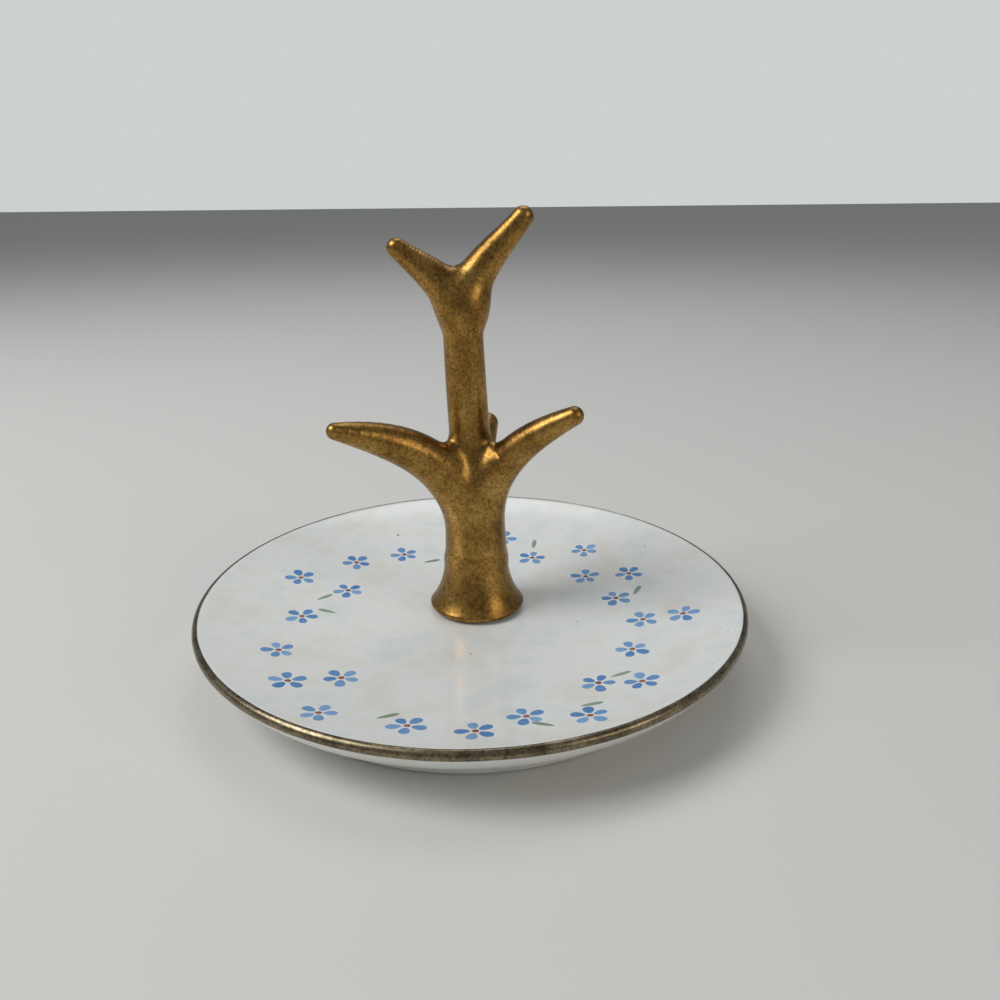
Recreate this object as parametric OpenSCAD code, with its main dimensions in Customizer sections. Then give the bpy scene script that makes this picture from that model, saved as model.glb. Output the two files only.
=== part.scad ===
// Ring dish: a footed porcelain saucer with a gilded branching tree that holds rings.
// The table is at z = 0, the middle of the saucer at x = y = 0, and the front of the dish faces -y.

/* [Saucer] */
// Radius of the saucer over its gilded lip
saucer_r = 45; // [44:0.25:47]
// Height of the lip above the table
saucer_h = 10.3; // [10:0.1:11]
// Depth of the well below the lip
well_depth = 4.2; // [3.8:0.1:4.6]
// Radius of the level middle of the well
level_r = 10; // [9.8:0.1:12]
// Power of the curve that lifts the well to the lip
well_power = 2.6; // [2.2:0.1:3.2]
// Radius of the rounded lip
lip_r = 0.8; // [0.7:0.05:0.9]
// Outer radius of the foot ring
ring_r = 36.3; // [35:0.1:37]
// Width of the foot ring
ring_w = 3; // [2.5:0.1:4]
// Height of the foot ring on its outer side
ring_h = 2.4; // [2:0.1:2.6]
// Depth of the recess under the floor
recess_h = 2.8; // [2.4:0.1:3]
// How far the groove over the foot ring cuts in
groove = 0.7; // [0.4:0.1:1]

/* [Gilding and slip] */
// Thickness of the gilding
gilt = 0.12; // [0.1:0.01:0.15]
// Radius of the slip under the tree
slip_r = 6.9; // [6.5:0.1:6.9]
// Thickness of the slip under the tree
slip_h = 0.3; // [0.2:0.05:0.5]

/* [Trunk] */
// Place of the trunk to the right of the saucer's middle
tree_x = 0.8; // [-1:0.1:1]
// Place of the trunk behind the saucer's middle
tree_y = 1.6; // [-1:0.1:1.8]
// Radius of the trunk's foot
foot_r = 7.9; // [7.7:0.1:8]
// Rounding under the foot's edge
edge_r = 0.8; // [0.6:0.1:0.9]
// Radius of the trunk's neck
neck_r = 4.7; // [4.5:0.1:4.9]
// Height over which the foot's flare fades
flare = 4; // [3.5:0.1:4.3]
// Height above the slip where the stem and the branches start
join_h = 10.6; // [10.3:0.1:10.9]
// Radius of the stem where it starts
stem_low_r = 3.5; // [3.3:0.05:3.6]
// Radius of the stem halfway up
stem_r = 3.25; // [3.1:0.05:3.4]
// Radius of the stem at the fork
stem_top_r = 3; // [2.9:0.05:3.2]
// Height above the slip where the prongs start
fork_h = 50.2; // [50:0.1:50.6]
// How far the fork stands left of the trunk
fork_shift = 1.4; // [1:0.1:1.6]

/* [Limbs] */
// Reach of the left branch
left_reach = 22.5; // [21.5:0.25:23]
// Rise of the left branch
left_rise = 23.1; // [22.5:0.1:23.5]
// Reach of the right branch
right_reach = 16.6; // [16:0.1:17.2]
// Rise of the right branch
right_rise = 24.1; // [23.6:0.1:24.6]
// Reach of the rear branch
rear_reach = 13; // [12.5:0.25:14]
// Rise of the rear branch
rear_rise = 17.5; // [17:0.1:18]
// Reach of the left prong
left_prong_reach = 9.5; // [9.2:0.1:10]
// Rise of the left prong
left_prong_rise = 8.5; // [8.2:0.1:9]
// Reach of the right prong
right_prong_reach = 9.2; // [9:0.1:10]
// Rise of the right prong
right_prong_rise = 12.7; // [12.3:0.1:13.2]
// Softness of the hollows between the trunk and the branches
hollow = 3.4; // [3:0.1:3.6]
// Softness of the hollows at the fork
fork_hollow = 2.4; // [2.2:0.1:2.8]

/* [Hidden] */

$fn = 96;
well_z = saucer_h - well_depth;
tree_z = well_z + slip_h;
lip_at = [saucer_r - gilt - lip_r, saucer_h - gilt - lip_r];
profile_steps = 14;
chain_steps = 10;
trunk_rays = 48;
trunk_rise = 1.4;
limb_rays = 24;
limb_rings = 18;
tip_rings = 4;
solve_steps = 12;
far = 20;
split_h = 39;
crotch_h = 55.9;
crotch_shift = 1.2;
root = [tree_x, tree_y, tree_z + join_h];
stem_root = root + [0, 0.6, 0];
branch_root = root - [0, 0.6, 0];
fork = [tree_x - fork_shift, tree_y, tree_z + fork_h];

function unit(t) = min(1, max(0, t));
function heading(turn, climb) = [cos(turn) * cos(climb), sin(turn) * cos(climb), sin(climb)];
function bezier(p, t) =
    pow(1 - t, 3) * p[0] + 3 * t * pow(1 - t, 2) * p[1] + 3 * t * t * (1 - t) * p[2] + pow(t, 3) * p[3];
function bezier_run(p, t) =
    pow(1 - t, 2) * (p[1] - p[0]) + 2 * t * (1 - t) * (p[2] - p[1]) + t * t * (p[3] - p[2]);

// A limb is its four control points, its radius at the root and tip, the power of its taper,
// the way it turns, and the share of its length that lies inside the trunk.
function limb(from, turn, reach, rise, leave, arrive, bend, r0, r1, power, start) =
    let (tip = from + [reach * cos(turn), reach * sin(turn), rise], arm = bend * norm([reach, rise]))
    [[from, from + arm * heading(turn, leave), tip - arm * heading(turn, arrive), tip],
     r0, r1, power, turn, start];
function limb_r(l, t) = l[1] + (l[2] - l[1]) * pow(t, l[3]);
function limb_along(l, t) = let (run = bezier_run(l[0], t)) run / norm(run);
function limb_chain(l) = [for (i = [0:chain_steps]) let (t = i / chain_steps) [bezier(l[0], t), limb_r(l, t)]];

left = limb(branch_root, 205, left_reach, left_rise, 80, 15, 0.45, 3.65, 1.3, 3.8, 0.53);
right = limb(branch_root, 335, right_reach, right_rise, 81, 28, 0.45, 3.05, 1.5, 3.3, 0.6);
rear = limb(stem_root, 79, rear_reach, rear_rise, 76, 25, 0.42, 2.6, 1.9, 1.5, 0.67);
prong_l = limb(fork, 180, left_prong_reach, left_prong_rise, 51, 38, 0.4, 3.45, 1.5, 1, 0.42);
prong_r = limb(fork, 0, right_prong_reach, right_prong_rise, 69, 50, 0.4, 3.35, 1.6, 1, 0.3);
LIMBS = [left, right, rear, prong_l, prong_r];
CROTCHES = [29.3, 29, 25.4, 57, 57];
CHAINS = [for (l = LIMBS) limb_chain(l)];
STEM = [for (i = [0:chain_steps])
    let (t = i / chain_steps, lift = [0, 0, 12])
    [bezier([stem_root, stem_root + lift, fork - lift, fork], t),
     stem_r + (stem_low_r - stem_r) * pow(1 - t, 3) + (stem_top_r - stem_r) * pow(t, 3)]];

// Signed gap from a point to a row of balls joined by cones, negative inside.
function cone_gap(p, a, b) =
    let (ab = b[0] - a[0], t = unit((p - a[0]) * ab / (ab * ab)))
    norm(p - a[0] - t * ab) - a[1] - t * (b[1] - a[1]);
function chain_gap(p, c) = min([for (i = [1:chain_steps]) cone_gap(p, c[i - 1], c[i])]);

// Radius of the trunk at a height above the slip: an edge rounded under, a flare and a neck.
function trunk_r(h) =
    let (under = max(edge_r - h, 0), top = unit((h - 8) / (join_h - 8)))
    neck_r + (foot_r - neck_r) * exp(-max(h - edge_r, 0) / flare)
    - (neck_r - 3) * top * top - edge_r + sqrt(edge_r * edge_r - under * under);
function trunk_gap(p) =
    let (h = p.z - tree_z, over = max(h - join_h, 0))
    norm([p.x - tree_x, p.y - tree_y, over]) - trunk_r(min(max(h, 0), join_h));

// Soft union of two gaps, with a hollow of softness k where they meet.
function soft(a, b, k) = let (h = max(k - abs(a - b), 0)) min(a, b) - h * h / (4 * k);
function tree_gap(p) =
    p.z - tree_z < split_h
    ? soft(soft(soft(soft(trunk_gap(p), chain_gap(p, STEM), hollow), chain_gap(p, CHAINS[0]), hollow),
                chain_gap(p, CHAINS[1]), hollow), chain_gap(p, CHAINS[2]), hollow)
    : soft(soft(chain_gap(p, STEM), chain_gap(p, CHAINS[3]), fork_hollow),
           chain_gap(p, CHAINS[4]), fork_hollow);

// Length of a ray from a point inside the tree to its skin, no longer than most.
function ray(c, d, t, most, left_steps) =
    left_steps == 0 ? min(t, most)
    : t >= most && tree_gap(c + most * d) <= 0 ? most
    : ray(c, d, min(t, most) - tree_gap(c + min(t, most) * d), most, left_steps - 1);
function skin_point(c, d, guess, most = far) = c + max(ray(c, d, guess, most, solve_steps), 0.05) * d;

// Sides and ends of a skin laid over rings of n points. The last ring ends in a flat or in one point.
function side_faces(rings, n) = [
    for (i = [0:rings - 2], j = [0:n - 1])
        let (k = (j + 1) % n, a = i * n + j, b = a + n, c = (i + 1) * n + k, d = i * n + k)
        each [[a, b, c], [a, c, d]]];
function root_face(n) = [[for (j = [0:n - 1]) j]];
function top_face(rings, n) = [[for (j = [n - 1:-1:0]) (rings - 1) * n + j]];
function point_faces(rings, n) = [
    for (j = [0:n - 1]) [(rings - 1) * n + (j + 1) % n, (rings - 1) * n + j, rings * n]];

// Plane on which a limb is luted to the trunk: its outward normal, its distance from the origin,
// and the height of the crotch over it, above which the trunk is free of that limb.
function seam(l, crotch) = let (n = limb_along(l, l[5])) [n, n * bezier(l[0], l[5]), tree_z + crotch];
SEAMS = [for (i = [0:len(LIMBS) - 1]) seam(LIMBS[i], CROTCHES[i])];
function seam_limit(c, d) = min([
    for (s = SEAMS) let (facing = d * s[0], room = s[1] - c * s[0])
        facing > 0.001 && c.z < s[2] ? max(room, 0.05) / facing : far]);

// The dish is one turned profile: the well, the rounded lip, the flared wall, the groove and the foot ring.
module dish_profile() {
    rise_end = lip_at[0];
    step = (rise_end - level_r) / profile_steps;
    well = [for (i = [0:profile_steps - 1]) [level_r + i * step,
        well_z + (saucer_h - gilt - well_z) * pow(i / profile_steps, well_power)]];
    wall_low = [ring_r - groove, ring_h + groove];
    wall_mid = [(ring_r + 2 * saucer_r) / 3, ring_h + 1.6];
    lip = [for (a = [90:-15:-30]) lip_at + lip_r * [cos(a), sin(a)]];
    wall_top = lip[len(lip) - 1];
    wall = [for (i = [1:profile_steps]) let (t = i / profile_steps)
        (1 - t) * (1 - t) * wall_top + 2 * t * (1 - t) * wall_mid + t * t * wall_low];
    polygon(concat([[0, well_z]], well, lip, wall,
        [[ring_r, ring_h], [ring_r - 0.4, 0], [ring_r - ring_w, 0],
         [ring_r - ring_w - recess_h / 2, recess_h], [0, recess_h]]));
}

module dish() color([0.93, 0.93, 0.9]) rotate_extrude() dish_profile();

module gilding_profile() {
    lip_angles = [90:-15:-30];
    inner = [for (a = lip_angles) lip_at + lip_r * [cos(a), sin(a)]];
    outer = [for (i = [len(inner) - 1:-1:0]) let (a = 90 - 15 * i)
        lip_at + (lip_r + gilt) * [cos(a), sin(a)]];
    polygon(concat(inner, outer));
}

module rim_gilding() color([0.5, 0.42, 0.28]) rotate_extrude() gilding_profile();

module luting_slip() color([0.85, 0.83, 0.78])
    translate([tree_x, tree_y, well_z]) cylinder(r = slip_r, h = slip_h);

// The trunk is a stack of level rings that widen into the roots of the limbs and stop at their seams.
function trunk_middle(z) =
    let (t = unit((z - root.z) / (fork.z - root.z)), u = unit((z - fork.z) / (tree_z + crotch_h - fork.z)))
    [tree_x - fork_shift * t - crotch_shift * u, tree_y, z];
function trunk_ring(z) = let (c = trunk_middle(z)) [
    for (j = [0:trunk_rays - 1]) let (d = heading(j * 360 / trunk_rays, 0))
        skin_point(c, d, 2, seam_limit(c, d))];

module trunk() color([0.62, 0.47, 0.22]) {
    foot_heights = [0, 0.15, 0.4, edge_r];
    body = crotch_h - edge_r;
    count = round(body / trunk_rise);
    heights = concat(foot_heights, [for (i = [1:count]) edge_r + i * body / count]);
    polyhedron(points = [for (h = heights) each trunk_ring(tree_z + h)],
        faces = concat(side_faces(len(heights), trunk_rays), root_face(trunk_rays),
            top_face(len(heights), trunk_rays)));
}

// A limb is a skin over rings square to its line, closed by a round tip, with a flat root on its seam.
function limb_ring(c, along, turn, guess, climb) =
    let (side = heading(turn + 90, 0), up = cross(along, side)) [
    for (j = [0:limb_rays - 1]) let (a = j * 360 / limb_rays,
        d = cos(climb) * (cos(a) * side + sin(a) * up) + sin(climb) * along)
        skin_point(c, d, guess)];

module limb_solid(l) {
    tip = l[0][3];
    tip_along = limb_along(l, 1);
    points = concat(
        [for (i = [0:limb_rings]) let (t = l[5] + (1 - l[5]) * i / limb_rings)
            each limb_ring(bezier(l[0], t), limb_along(l, t), l[4], limb_r(l, t), 0)],
        [for (i = [1:tip_rings - 1]) each limb_ring(tip, tip_along, l[4], l[2], 90 * i / tip_rings)],
        [skin_point(tip, tip_along, l[2])]);
    rings = limb_rings + tip_rings;
    polyhedron(points = points,
        faces = concat(side_faces(rings, limb_rays), root_face(limb_rays), point_faces(rings, limb_rays)));
}

module left_branch() color([0.65, 0.5, 0.24]) limb_solid(left);
module right_branch() color([0.65, 0.5, 0.24]) limb_solid(right);
module rear_branch() color([0.65, 0.5, 0.24]) limb_solid(rear);
module left_prong() color([0.6, 0.46, 0.22]) limb_solid(prong_l);
module right_prong() color([0.6, 0.46, 0.22]) limb_solid(prong_r);

dish();
rim_gilding();
luting_slip();
trunk();
left_branch();
right_branch();
rear_branch();
left_prong();
right_prong();
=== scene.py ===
# %% [markdown]
# # A porcelain ring dish with a gilded tree
# The dish is turned, glazed and gilded on its lip. Five-petalled flowers are painted in its well.
# The tree stands on a little slip, and all its limbs melt into one another.
# Lengths are worked out in millimetres and turned into metres when a mesh is made.

# %% Setup
import bpy
import numpy as np
from mathutils import Matrix, Vector


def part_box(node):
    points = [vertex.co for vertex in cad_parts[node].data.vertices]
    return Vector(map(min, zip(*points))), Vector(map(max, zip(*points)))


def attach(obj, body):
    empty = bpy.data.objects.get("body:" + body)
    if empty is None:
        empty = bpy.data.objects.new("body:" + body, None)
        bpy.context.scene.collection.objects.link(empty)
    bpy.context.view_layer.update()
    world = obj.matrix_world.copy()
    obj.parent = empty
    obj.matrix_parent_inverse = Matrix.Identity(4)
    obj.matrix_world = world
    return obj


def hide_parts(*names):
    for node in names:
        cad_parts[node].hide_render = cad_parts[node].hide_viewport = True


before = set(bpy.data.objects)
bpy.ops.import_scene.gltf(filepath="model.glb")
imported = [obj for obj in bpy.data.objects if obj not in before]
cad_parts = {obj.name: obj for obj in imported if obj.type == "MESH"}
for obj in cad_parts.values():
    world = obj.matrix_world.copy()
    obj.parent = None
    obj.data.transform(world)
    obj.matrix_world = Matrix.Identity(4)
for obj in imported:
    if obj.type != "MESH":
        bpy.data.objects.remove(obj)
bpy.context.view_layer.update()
MM = 0.001
rng = np.random.default_rng(7)


def cad_box(name):
    """Lowest and highest corner of a CAD node, in millimetres."""
    low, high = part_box(name)
    return np.array(low) / MM, np.array(high) / MM


GOLD_HIGH = cad_box("rim_gilding")[1]
SLIP_LOW, SLIP_HIGH = cad_box("luting_slip")
RIM_R, RIM_H = GOLD_HIGH[0], GOLD_HIGH[2]
WELL_Z, TREE_Z = SLIP_LOW[2], SLIP_HIGH[2]
print("rim", RIM_R, RIM_H, "well", WELL_Z, "tree from", TREE_Z)

# %% [markdown]
# ## Meshes from arrays
# Nearly every piece is a grid of points that closes on itself, so a few helpers make them all.

# %% Mesh helpers


def mesh_piece(name, points, faces, nodes, slot_name, material):
    """A smooth object from points in millimetres and a list or array of faces, riding on the one body."""
    mesh = bpy.data.meshes.new(name)
    mesh.from_pydata((np.asarray(points) * MM).tolist(), [], [list(map(int, f)) for f in faces])
    mesh.polygons.foreach_set("use_smooth", np.ones(len(mesh.polygons), bool))
    mesh.update()
    obj = bpy.data.objects.new(name, mesh)
    bpy.context.scene.collection.objects.link(obj)
    mesh.materials.append(material)
    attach(obj, "root")
    if nodes:
        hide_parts(*nodes)
    return obj


def grid_faces(rows, columns, closed_rows=False):
    """Quads of a grid whose columns close on themselves. Row by row, the outside faces out."""
    i = np.arange(rows if closed_rows else rows - 1)[:, None]
    j = np.arange(columns)[None, :]
    k = (j + 1) % columns
    below, above = i * columns, ((i + 1) % rows) * columns
    return np.stack([below + j, below + k, above + k, above + j], -1).reshape(-1, 4)


def turned(outline, steps):
    """A closed outline of radius and height, turned about z: x = r cos a, y = r sin a."""
    a = np.linspace(0, 2 * np.pi, steps, endpoint=False)
    r, z = outline[:, :1], outline[:, 1:]
    z = np.broadcast_to(z, (len(r), steps))
    return np.stack([r * np.cos(a), r * np.sin(a), z], -1).reshape(-1, 3)


# %% [markdown]
# ## Materials
# Colours are written as sRGB hex and turned linear in one place.

# %% Material helpers


def linear(code, alpha=1.0):
    """Linear colour of an sRGB hex code: ((c + 0.055) / 1.055) to the power 2.4."""
    c = np.array([int(code[i:i + 2], 16) for i in (0, 2, 4)]) / 255
    c = np.where(c <= 0.04045, c / 12.92, ((c + 0.055) / 1.055) ** 2.4)
    return (*map(float, c), alpha)


def add_node(tree, kind, settings=(), **links):
    """A shader node with its properties set and its inputs set or linked.

    An input goes by its name, with _ for a blank, or by i and its number."""
    n = tree.nodes.new(kind)
    for key, value in dict(settings).items():
        setattr(n, key, value)
    for key, value in links.items():
        numbered = key[0] == "i" and key[1:].isdigit()
        socket = n.inputs[int(key[1:]) if numbered else key.replace("_", " ")]
        if isinstance(value, bpy.types.NodeSocket):
            tree.links.new(value, socket)
        else:
            socket.default_value = value
    return n


def new_material(name, **constants):
    """A material with its Principled shader, whose constant inputs are set directly."""
    m = bpy.data.materials.new(name)
    m.use_nodes = True
    shader = m.node_tree.nodes["Principled BSDF"]
    for key, value in constants.items():
        shader.inputs[key.replace("_", " ")].default_value = value
    return m, m.node_tree, shader


def mottled(tree, scale_mm, low, high, colours, detail=4.0):
    """Noise in object space, with features of so many millimetres, ramped between colours."""
    place = add_node(tree, "ShaderNodeTexCoord")
    noise = add_node(tree, "ShaderNodeTexNoise", Vector=place.outputs["Object"],
                     Scale=1 / (scale_mm * MM), Detail=detail, Roughness=0.6)
    ramp = add_node(tree, "ShaderNodeValToRGB", Fac=noise.outputs["Fac"])
    stops = ramp.color_ramp.elements
    stops[0].position, stops[1].position = low, high
    stops[0].color, stops[1].color = colours[0], colours[-1]
    for i, c in enumerate(colours[1:-1], 1):
        stops.new(low + (high - low) * i / (len(colours) - 1)).color = c
    return noise, ramp


# %% [markdown]
# White porcelain under a clear glaze: the eye sees a cool white body with faint warm clouds, and
# soft window lights on its skin. Fired glaze has an IOR of about 1.5.

# %% Glaze
CLOUD_MM = 9
FIRED_IOR = 1.5
glaze, tree, shader = new_material("glazed white porcelain", Roughness=0.16, IOR=FIRED_IOR,
                                   Coat_Weight=0.3, Coat_Roughness=0.08)
noise, ramp = mottled(tree, CLOUD_MM, 0.35, 0.68, [linear("E4E2DA"), linear("E9EBE8"), linear("DDE3E2")])
tree.links.new(ramp.outputs["Color"], shader.inputs["Base Color"])
ripple = add_node(tree, "ShaderNodeBump", Strength=0.08, Distance=0.0002, Height=noise.outputs["Fac"])
tree.links.new(ripple.outputs["Normal"], shader.inputs["Normal"])

# %% [markdown]
# Antique gold fired over the glaze: bronze where it's thin and rubbed, yellow where it's thick.
# It is a metal, and its fine speckle breaks up the lights.

# %% Gold
GOLD_CLOUD_MM, GOLD_SPECK_MM = 5, 0.45


def gold_material(name, dark, mid, light, rough):
    """Mottled gold: coarse clouds of three tones, with a fine dark speckle and a matching bump."""
    m, t, s = new_material(name, Metallic=1.0, Roughness=rough)
    tones = mottled(t, GOLD_CLOUD_MM, 0.3, 0.7, [linear(dark), linear(mid), linear(light)])[1]
    specks, grain = mottled(t, GOLD_SPECK_MM, 0.3, 0.62, [linear("6E655A"), linear("FFFFFF")], 6.0)
    both = add_node(t, "ShaderNodeMix", {"data_type": "RGBA", "blend_type": "MULTIPLY"}, i0=0.75,
                    i6=tones.outputs["Color"], i7=grain.outputs["Color"])
    t.links.new(both.outputs[2], s.inputs["Base Color"])
    rise = add_node(t, "ShaderNodeBump", Strength=0.25, Distance=0.00008, Height=specks.outputs["Fac"])
    t.links.new(rise.outputs["Normal"], s.inputs["Normal"])
    return m


gold = gold_material("antique gilding", "7A5A2C", "A98243", "C29B57", 0.34)
lip_gold = gold_material("worn lip gilding", "5E5644", "8C8068", "A79A7E", 0.3)
slip_clay = new_material("fired slip", Base_Color=linear("CFC8BA"), Roughness=0.7)[0]
print("materials", len(bpy.data.materials))

# %% [markdown]
# ## The dish
# One closed outline is turned round the axis: the well, the lip, the flared wall, the groove and
# the foot ring, each with rounded corners where the potter's sponge has passed.

# %% Dish
LIP_R, GILT = 0.8, 0.12
LIP = np.array([RIM_R - GILT - LIP_R, RIM_H - GILT - LIP_R])
LEVEL_R, WELL_POWER = 10.0, 2.6
RING_R, RING_W, RING_H, RECESS = 36.3, 3.0, 2.4, 2.8
GROOVE, RING_LEAN, SPONGED_R = 0.7, 0.4, 0.5
WELL_STEPS, LIP_STEPS, WALL_STEPS, AROUND = 60, 25, 24, 256
LIP_ENDS = (90, -30)
AXIS_R = 0.01


def corner(points, radius, steps=5):
    """An outline whose inner points are rounded: each corner becomes a quadratic curve."""
    out = [points[0]]
    for before, at, after in zip(points[:-2], points[1:-1], points[2:]):
        a = at + (before - at) * min(0.45, radius / np.linalg.norm(before - at))
        b = at + (after - at) * min(0.45, radius / np.linalg.norm(after - at))
        t = np.linspace(0, 1, steps)[:, None]
        out.extend((1 - t) ** 2 * a + 2 * t * (1 - t) * at + t * t * b)
    out.append(points[-1])
    return np.array(out)


def dish_outline():
    """Radius and height from the middle of the well, over the lip, to the middle of the underside."""
    s = np.linspace(0, 1, WELL_STEPS)
    well = np.stack([LEVEL_R + (LIP[0] - LEVEL_R) * s,
                     WELL_Z + (RIM_H - GILT - WELL_Z) * s ** WELL_POWER], -1)[:-1]
    a = np.radians(np.linspace(*LIP_ENDS, LIP_STEPS))
    lip = LIP + LIP_R * np.stack([np.cos(a), np.sin(a)], -1)
    t = np.linspace(0, 1, WALL_STEPS)[:, None]
    low = np.array([RING_R - GROOVE, RING_H + GROOVE])
    mid = np.array([(RING_R + 2 * RIM_R) / 3, RING_H + 1.6])
    wall = (1 - t) ** 2 * lip[-1] + 2 * t * (1 - t) * mid + t * t * low
    inner_x = RING_R - RING_W
    foot = corner(np.array([wall[-1], [RING_R, RING_H], [RING_R - RING_LEAN, 0.0], [inner_x, 0.0],
                            [inner_x - RECESS / 2, RECESS], [inner_x - 8, RECESS]]), SPONGED_R)
    return np.vstack([[[AXIS_R, WELL_Z]], [[LEVEL_R / 2, WELL_Z]], well, lip, wall[1:-1], foot,
                      [[AXIS_R, RECESS]]])


outline = dish_outline()
points = turned(outline, AROUND)
rows = len(outline)
faces = [*grid_faces(rows, AROUND)[:, ::-1], list(range(AROUND)),
         list(range((rows - 1) * AROUND, rows * AROUND))[::-1]]
dish = mesh_piece("porcelain_dish", points, faces, ["dish"], "glazed_porcelain", glaze)
print("dish faces", len(faces))

# %% [markdown]
# ## The gold line
# The line wraps the lip. Its lower edge is ragged, as a brushed and worn line is.

# %% Rim gilding
GOLD_TOP, GOLD_LOW, SUNK = 88, -18, 0.05
WAVES = ((5, 2.5, 0.3), (11, 2.0, 1.1), (23, 2.5, 2.0), (47, 2.0, 0.5))
SWING = sum(size for _, size, _ in WAVES)
a = np.linspace(0, 2 * np.pi, AROUND, endpoint=False)
ragged = sum(size * np.sin(count * a + start) for count, size, start in WAVES)
across = np.linspace(0, 1, 13)[:, None]
inside, outside = GOLD_TOP - 0.25 * (ragged + SWING), GOLD_LOW - 0.4 * (ragged + SWING)
angle = np.radians(inside + (outside - inside) * across)
outer_r, inner_r = LIP_R + 0.9 * GILT, LIP_R - SUNK
shell = [np.stack([(LIP[0] + r * np.cos(angle)) * np.cos(a), (LIP[0] + r * np.cos(angle)) * np.sin(a),
                   LIP[1] + r * np.sin(angle)], -1) for r in (outer_r, inner_r)]
band = np.concatenate([shell[0], shell[1][::-1]])
faces = grid_faces(len(band), AROUND, closed_rows=True)[:, ::-1]
mesh_piece("lip_gilding", band.reshape(-1, 3), faces, ["rim_gilding"], "worn_gilding", lip_gold)
print("gold line faces", len(faces))

# %% [markdown]
# ## The tree
# The tree is where one smooth number is nought. Each limb is a row of balls along a curve, and a
# soft minimum melts the limbs into one another. Rings of points slide along rays to that skin.

# %% Tree field
ROOT = np.array([0.8, 1.6, TREE_Z + 10.6])
FORK = np.array([ROOT[0] - 1.4, ROOT[1], TREE_Z + 50.2])
HOLLOW, FORK_HOLLOW, SPLIT_H = 3.4, 2.4, 39.0
FOOT_R, EDGE_R, NECK_R, FLARE, JOIN_R, WAIST_H = 7.9, 0.8, 4.7, 4.0, 3.0, 8.0
CHAIN = 24


def heading(turn, climb):
    """Unit direction from a turn about z and a climb from level, in degrees."""
    t, c = np.radians(turn), np.radians(climb)
    return np.array([np.cos(t) * np.cos(c), np.sin(t) * np.cos(c), np.sin(c)])


def bezier(p, t):
    """Point on a cubic curve with four control points."""
    t = np.asarray(t)[..., None]
    u = 1 - t
    return u ** 3 * p[0] + 3 * t * u ** 2 * p[1] + 3 * t * t * u * p[2] + t ** 3 * p[3]


def bezier_run(p, t):
    """Unit direction of the curve."""
    t = np.asarray(t)[..., None]
    d = (1 - t) ** 2 * (p[1] - p[0]) + 2 * t * (1 - t) * (p[2] - p[1]) + t * t * (p[3] - p[2])
    return d / np.linalg.norm(d, axis=-1, keepdims=True)


def limb(start, turn, reach, rise, leave, arrive, bend, r0, r1, power, root_share):
    """A limb: its control points, its radius along it, its turn and the share of it inside the trunk."""
    tip = start + [reach * np.cos(np.radians(turn)), reach * np.sin(np.radians(turn)), rise]
    arm = bend * np.hypot(reach, rise)
    p = np.array([start, start + arm * heading(turn, leave), tip - arm * heading(turn, arrive), tip])
    return {"p": p, "r": lambda t: r0 + (r1 - r0) * t ** power, "turn": turn, "start": root_share}


BEHIND = np.array([0, 0.6, 0])
LIMBS = {
    "left_branch": limb(ROOT - BEHIND, 205, 22.5, 23.1, 80, 15, 0.45, 3.65, 1.3, 3.8, 0.53),
    "right_branch": limb(ROOT - BEHIND, 335, 16.6, 24.1, 81, 28, 0.45, 3.05, 1.5, 3.3, 0.6),
    "rear_branch": limb(ROOT + BEHIND, 79, 13, 17.5, 76, 25, 0.42, 2.6, 1.9, 1.5, 0.67),
    "left_prong": limb(FORK, 180, 9.5, 8.5, 51, 38, 0.4, 3.45, 1.5, 1, 0.42),
    "right_prong": limb(FORK, 0, 9.2, 12.7, 69, 50, 0.4, 3.35, 1.6, 1, 0.3),
}
STEM_R, STEM_EASE, LIFT = 3.25, 0.25, np.array([0, 0, 12.0])
share = np.linspace(0, 1, CHAIN)
stem_p = np.array([ROOT + BEHIND, ROOT + BEHIND + LIFT, FORK - LIFT, FORK])
CHAINS = {"stem": (bezier(stem_p, share), STEM_R + STEM_EASE * (1 - share) ** 3 - STEM_EASE * share ** 3)}
CHAINS.update({k: (bezier(l["p"], share), l["r"](share)) for k, l in LIMBS.items()})


def chain_gap(q, chain):
    """Gap from points to balls joined by cones: distance to the line less the radius there."""
    c, r = chain
    ab = c[1:] - c[:-1]
    t = np.clip(((q[:, None] - c[:-1]) * ab).sum(-1) / (ab * ab).sum(-1), 0, 1)
    away = np.linalg.norm(q[:, None] - c[:-1] - t[..., None] * ab, axis=-1)
    return (away - r[:-1] - t * (r[1:] - r[:-1])).min(-1)


def trunk_gap(q):
    """Gap from points to the trunk: a rounded edge, a flare that fades upwards, and a neck."""
    h = q[:, 2] - TREE_Z
    join = ROOT[2] - TREE_Z
    level = np.clip(h, 0, join)
    under = np.maximum(EDGE_R - level, 0)
    top = np.clip((level - WAIST_H) / (join - WAIST_H), 0, 1)
    r = NECK_R + (FOOT_R - NECK_R) * np.exp(-np.maximum(level - EDGE_R, 0) / FLARE)
    r = r - (NECK_R - JOIN_R) * top * top - EDGE_R + np.sqrt(EDGE_R ** 2 - under ** 2)
    aside, behind, over = q[:, 0] - ROOT[0], q[:, 1] - ROOT[1], np.maximum(h - join, 0)
    return np.sqrt(aside ** 2 + behind ** 2 + over ** 2) - r


def soft(a, b, k):
    """Soft minimum: the smaller, less a bump of width k where the two are near each other."""
    h = np.maximum(k - abs(a - b), 0)
    return np.minimum(a, b) - h * h / (4 * k)


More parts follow.
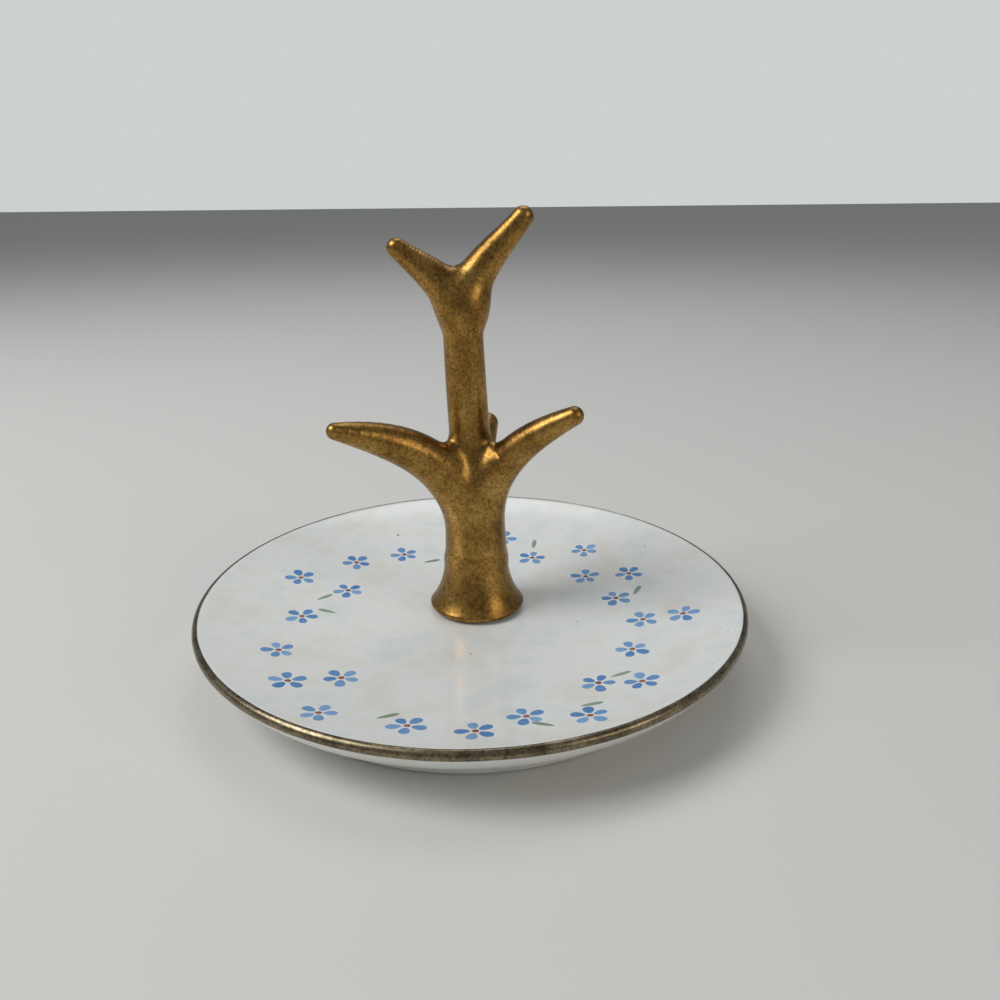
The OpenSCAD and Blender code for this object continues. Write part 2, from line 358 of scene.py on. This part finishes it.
def tree_gap(q):
    """The tree's number: soft minimum of the trunk, the stem and the limbs near the points."""
    gap = {k: chain_gap(q, c) for k, c in CHAINS.items()}
    low = soft(trunk_gap(q), gap["stem"], HOLLOW)
    for k in ("left_branch", "right_branch", "rear_branch"):
        low = soft(low, gap[k], HOLLOW)
    high = soft(soft(gap["stem"], gap["left_prong"], FORK_HOLLOW), gap["right_prong"], FORK_HOLLOW)
    return np.where(q[:, 2] - TREE_Z < SPLIT_H, low, high)


def cast(c, d, guess, most, steps=24):
    """Slide points along rays to the skin, no further than most."""
    t = np.minimum(guess, most)
    for _ in range(steps):
        t = np.clip(t - tree_gap(c + t[:, None] * d), 0.02, most)
    return c + t[:, None] * d


CROTCHES = (29.3, 29.0, 25.4, 57.0, 57.0)
SEAMS = [(bezier_run(l["p"], l["start"]), bezier(l["p"], l["start"]), TREE_Z + crotch)
         for l, crotch in zip(LIMBS.values(), CROTCHES)]


def seam_limit(c, d, spare):
    """How far rays may run before they are spare millimetres past a limb's seam, below its crotch."""
    most = np.full(len(c), 30.0)
    for n, at, crotch_z in SEAMS:
        facing = d @ n
        room = np.maximum((at - c) @ n + spare, 0.05)
        held = (facing > 0.001) & (c[:, 2] < crotch_z)
        most = np.where(held, np.minimum(most, room / np.maximum(facing, 0.001)), most)
    return most


# %% [markdown]
# The trunk's rings run a little past the seams and the limbs start a little inside, so the skins
# pass through one another without a gap.

# %% Tree meshes
TRUNK_RAYS, TRUNK_RINGS, LIMB_RAYS, LIMB_RINGS, TIP_RINGS = 160, 240, 72, 90, 14
OVERLAP = 0.35
CROTCH_H, CROTCH_SHIFT = 55.9, 1.2


def trunk_mesh():
    """Level rings from the foot to just under the fork's crotch."""
    edge = np.array([0, 0.03, 0.08, 0.16, 0.3, 0.5, EDGE_R])
    z = np.concatenate([edge, np.linspace(EDGE_R, CROTCH_H + 0.08, TRUNK_RINGS)[1:]]) + TREE_Z
    t = np.clip((z - ROOT[2]) / (FORK[2] - ROOT[2]), 0, 1)
    u = np.clip((z - FORK[2]) / (TREE_Z + CROTCH_H - FORK[2]), 0, 1)
    x = ROOT[0] + (FORK[0] - ROOT[0]) * t - CROTCH_SHIFT * u
    middle = np.stack([x, np.full(len(z), ROOT[1]), z], -1)
    a = np.linspace(0, 2 * np.pi, TRUNK_RAYS, endpoint=False)
    d = np.tile(np.stack([np.cos(a), np.sin(a), np.zeros(TRUNK_RAYS)], -1), (len(z), 1))
    c = np.repeat(middle, TRUNK_RAYS, 0)
    q = cast(c, d, np.full(len(c), 2.0), seam_limit(c, d, OVERLAP))
    n = len(z)
    faces = [*grid_faces(n, TRUNK_RAYS), list(range(TRUNK_RAYS))[::-1],
             list(range((n - 1) * TRUNK_RAYS, n * TRUNK_RAYS))]
    return q, faces


def limb_mesh(l):
    """Rings square to the limb's line, then rings that close round its tip in one point."""
    back = OVERLAP / np.linalg.norm(l["p"][3] - l["p"][0])
    t = np.linspace(l["start"] - back, 1, LIMB_RINGS)
    c, along = bezier(l["p"], t), bezier_run(l["p"], t)
    tilt = np.radians(90 * np.arange(1, TIP_RINGS) / TIP_RINGS)
    c = np.vstack([c, np.repeat(c[-1:], len(tilt), 0)])
    along = np.vstack([along, np.repeat(along[-1:], len(tilt), 0)])
    tilt = np.concatenate([np.zeros(LIMB_RINGS), tilt])[:, None, None]
    side = heading(l["turn"] + 90, 0)
    up = np.cross(along, side)
    a = np.linspace(0, 2 * np.pi, LIMB_RAYS, endpoint=False)[None, :, None]
    flat = np.cos(a) * side + np.sin(a) * up[:, None]
    d = (np.cos(tilt) * flat + np.sin(tilt) * along[:, None]).reshape(-1, 3)
    at = np.repeat(c, LIMB_RAYS, 0)
    q = cast(at, d, np.full(len(at), 1.2), np.full(len(at), 12.0))
    n = len(c)
    pole = cast(c[-1:], along[-1:], np.array([1.2]), np.array([12.0]))
    last = (n - 1) * LIMB_RAYS
    fan = [[last + j, last + (j + 1) % LIMB_RAYS, n * LIMB_RAYS] for j in range(LIMB_RAYS)]
    return np.vstack([q, pole]), [*grid_faces(n, LIMB_RAYS), *fan, list(range(LIMB_RAYS))[::-1]]


trunk = mesh_piece("tree_trunk", *trunk_mesh(), ["trunk"], "gilded_porcelain", gold)
limbs = [mesh_piece("tree_" + k, *limb_mesh(l), [k], "gilded_porcelain", gold) for k, l in LIMBS.items()]
print("tree faces", sum(len(o.data.polygons) for o in [trunk, *limbs]))

# %% [markdown]
# The slip is a thin disc under the foot, seen only as a pale line in the shadow.

# %% Slip
SLIP_R = 6.85
SLIP_AROUND, SLIP_TOP = 96, TREE_Z - 0.01
rings = np.array([[AXIS_R, WELL_Z], [SLIP_R, WELL_Z], [SLIP_R, SLIP_TOP], [AXIS_R, SLIP_TOP]])
q = turned(rings, SLIP_AROUND) + [ROOT[0], ROOT[1], 0]
faces = grid_faces(len(rings), SLIP_AROUND, closed_rows=True)
mesh_piece("slip_pad", q, faces, ["luting_slip"], "fired_slip", slip_clay)
print("slip from", WELL_Z, "to", SLIP_TOP)

# %% [markdown]
# ## The painted flowers
# Each flower is five blue petals round a russet middle. A petal is a thin oval of enamel that lies
# on the well. Its place is found where the line of sight of a named picture point meets the well.

# %% Camera numbers
EYE = np.array([0.0, -129.46, 73.72])
FOCUS_PX, MIDDLE_PX = 850.0, 500.0
PITCH, YAW, ROLL = np.radians([20.347, 2.130, 0.506])
FORWARD = np.array([np.sin(YAW) * np.cos(PITCH), np.cos(YAW) * np.cos(PITCH), -np.sin(PITCH)])
level = np.array([np.cos(YAW), -np.sin(YAW), 0])
drop = np.cross(FORWARD, level)
RIGHT = np.cos(ROLL) * level + np.sin(ROLL) * drop
DOWN = -np.sin(ROLL) * level + np.cos(ROLL) * drop


def well_height(x, y):
    """Height of the well at a place."""
    s = np.clip((np.hypot(x, y) - LEVEL_R) / (LIP[0] - LEVEL_R), 0, 1)
    return WELL_Z + (RIM_H - GILT - WELL_Z) * s ** WELL_POWER


def on_well(px, py):
    """Where the line of sight through a picture point meets the well."""
    d = RIGHT * (px - MIDDLE_PX) / FOCUS_PX + DOWN * (py - MIDDLE_PX) / FOCUS_PX + FORWARD
    z = WELL_Z
    for _ in range(30):
        at = EYE + d * (z - EYE[2]) / d[2]
        z = 0.5 * z + 0.5 * well_height(at[0], at[1])
    return at[:2]


FLOWERS_PX = [(300.9, 577.5), (356.4, 562.4), (348, 590.3), (404.2, 554.5), (301.7, 616.1), (278.4, 649.7),
              (287.5, 680.5), (341.2, 677.7), (318.3, 712.6), (406.9, 725.6), (475.2, 730.9), (531.9, 557.7),
              (584, 550.2), (585.3, 576.3), (628.7, 573.4), (615.7, 598), (642.8, 619.3), (682.8, 613.4),
              (632.1, 648.9), (598.2, 682.8), (642, 681), (526.2, 716.2), (590.1, 715.3), (503, 538)]
LEAVES_PX = [(432, 561, 20), (327, 611, 160), (534, 544, 80), (637, 590, 60), (621, 674, 20), (543, 724, 150),
             (388, 716, 30), (592, 704, 10), (325, 597, 45)]
SPECKS_PX = [(398, 535, 0.3), (645, 546, 0.16), (662, 588, 0.14), (577, 622, 0.16), (471, 654, 0.14),
             (712, 664, 0.15), (728, 631, 0.14)]
ENAMEL = 0.012
PETALS, PETAL_OUT, PETAL_LONG, PETAL_WIDE = 5, 1.62, 1.02, 0.72
HEART_LONG, HEART_WIDE, LEAF_LONG, LEAF_WIDE = 0.5, 0.45, 1.7, 0.45


def oval(at, long, wide, turn, height=ENAMEL):
    """A domed oval of enamel lying on the well: rings of points closing in one middle point."""
    a = np.linspace(0, 2 * np.pi, 20, endpoint=False)
    out = []
    for share_out, rise in ((1.0, -0.004), (0.92, 0.6 * height), (0.6, height)):
        u, v = long * share_out * np.cos(a), wide * share_out * np.sin(a) * (1 + 0.25 * np.cos(a))
        x = at[0] + u * np.cos(turn) - v * np.sin(turn)
        y = at[1] + u * np.sin(turn) + v * np.cos(turn)
        out.append(np.stack([x, y, well_height(x, y) + rise], -1))
    middle = np.array([[at[0], at[1], well_height(at[0], at[1]) + height]])
    q = np.vstack([*out, middle])
    n = len(a)
    fan = [[2 * n + j, 2 * n + (j + 1) % n, 3 * n] for j in range(n)]
    return q, [*grid_faces(3, n).tolist(), *fan]


def painted(name, ovals, material):
    """All ovals of one paint as one piece. Its tone attribute makes each oval paler or deeper."""
    points, faces, shade, base = [], [], [], 0
    for q, f, tone in ovals:
        points.append(q)
        faces += [[i + base for i in face] for face in f]
        base += len(q)
        shade.append(np.clip(np.full(len(q), tone) + rng.normal(0, 0.06, len(q)), 0, 1))
    obj = mesh_piece(name, np.vstack(points), faces, [], "glazed_porcelain", material)
    tone = obj.data.attributes.new("tone", "FLOAT", "POINT")
    tone.data.foreach_set("value", np.concatenate(shade).astype(np.float32))
    return obj


def enamel_material(name, deep, pale):
    """Glossy enamel that runs from a deep to a pale tone by the tone attribute, a little cloudy."""
    m, t, s = new_material(name, Roughness=0.25, IOR=FIRED_IOR)
    tone = add_node(t, "ShaderNodeAttribute", {"attribute_name": "tone"})
    ramp = add_node(t, "ShaderNodeValToRGB", Fac=tone.outputs["Fac"])
    ramp.color_ramp.elements[0].color, ramp.color_ramp.elements[1].color = linear(deep), linear(pale)
    t.links.new(ramp.outputs["Color"], s.inputs["Base Color"])
    return m


petals, hearts = [], []
for px, py in FLOWERS_PX:
    x, y = on_well(px, py)
    first = rng.uniform(0, 360 / PETALS)
    for k in range(PETALS):
        way = np.radians(first + 360 / PETALS * k + rng.uniform(-7, 7))
        size = rng.uniform(0.92, 1.1)
        at = (x + PETAL_OUT * size * np.cos(way), y + PETAL_OUT * size * np.sin(way))
        petals.append((*oval(at, PETAL_LONG * size, PETAL_WIDE * size, way), rng.uniform(0.15, 0.85)))
    hearts.append((*oval((x, y), HEART_LONG, HEART_WIDE, 0, 1.4 * ENAMEL), rng.uniform(0.2, 0.8)))
leaves = [(*oval(on_well(px, py), LEAF_LONG, LEAF_WIDE, np.radians(turn)), rng.uniform(0.2, 0.8))
          for px, py, turn in LEAVES_PX]
specks = [(*oval(on_well(px, py), r, r * 0.8, 0.4), 0.3) for px, py, r in SPECKS_PX]
blue = enamel_material("blue enamel", "3C78B8", "8DB4DC")
painted("blue_petals", petals, blue)
painted("flower_hearts", hearts, enamel_material("russet enamel", "7C3E36", "A8685A"))
painted("green_leaves", leaves, enamel_material("green enamel", "5C7A5E", "9DB39A"))
painted("glaze_specks", specks, enamel_material("iron specks", "5A4634", "7A6650"))
print("flowers", len(FLOWERS_PX), "petals", len(petals))

# %% [markdown]
# ## Stage, light and camera
# A plain pale floor, a broad soft light from the left and above, a weaker one from the right, and
# the camera where the photograph was taken.

# %% Stage
floor_mesh = bpy.data.meshes.new("stage_floor")
half = 3.0
corners = [(-half, -half, 0), (half, -half, 0), (half, half, 0), (-half, half, 0)]
floor_mesh.from_pydata(corners, [], [(0, 1, 2, 3)])
floor = bpy.data.objects.new("stage_floor", floor_mesh)
floor.location.z = -0.00005
bpy.context.scene.collection.objects.link(floor)
paper = new_material("pale paper", Base_Color=linear("D9D7D3"), Roughness=0.8)[0]
floor_mesh.materials.append(paper)


def area_light(name, place, size, watts, colour):
    """A square light that looks at the tree's middle."""
    data = bpy.data.lights.new(name, "AREA")
    data.size, data.energy, data.color = size, watts, linear(colour)[:3]
    obj = bpy.data.objects.new(name, data)
    obj.location = place
    aim = Vector((0, 0, 0.03)) - Vector(place)
    obj.rotation_euler = aim.to_track_quat("-Z", "Y").to_euler()
    bpy.context.scene.collection.objects.link(obj)
    return obj


area_light("window_light", (-0.45, -0.1, 0.5), 0.35, 2.6, "FFFFFF")
area_light("right_fill", (0.5, -0.35, 0.3), 0.3, 0.7, "FFF4E4")
area_light("top_light", (0.05, 0.3, 0.6), 0.4, 0.8, "F4F8FF")

world = bpy.data.worlds.new("room")
bpy.context.scene.world = world
world.use_nodes = True
t = world.node_tree
t.nodes.clear()
path = add_node(t, "ShaderNodeLightPath")
seen = add_node(t, "ShaderNodeBackground", Color=linear("DCE0E0"), Strength=0.85)
room = add_node(t, "ShaderNodeBackground", Color=linear("B9BDC0"), Strength=0.45)
mix = add_node(t, "ShaderNodeMixShader", i0=path.outputs["Is Camera Ray"], i1=room.outputs[0],
               i2=seen.outputs[0])
add_node(t, "ShaderNodeOutputWorld", Surface=mix.outputs[0])
print("lights", len(bpy.data.lights))

# %% Camera
camera_data = bpy.data.cameras.new("camera")
camera_data.sensor_width = 36.0
camera_data.lens = camera_data.sensor_width * FOCUS_PX / (2 * MIDDLE_PX)
camera_data.clip_start = 0.01
camera = bpy.data.objects.new("camera", camera_data)
turn = Matrix([[RIGHT[i], -DOWN[i], -FORWARD[i]] for i in range(3)]).to_4x4()
camera.matrix_world = Matrix.Translation(Vector(EYE * MM)) @ turn
bpy.context.scene.collection.objects.link(camera)
bpy.context.scene.camera = camera
bpy.context.scene.view_settings.view_transform = "Standard"
print("lens", camera_data.lens)
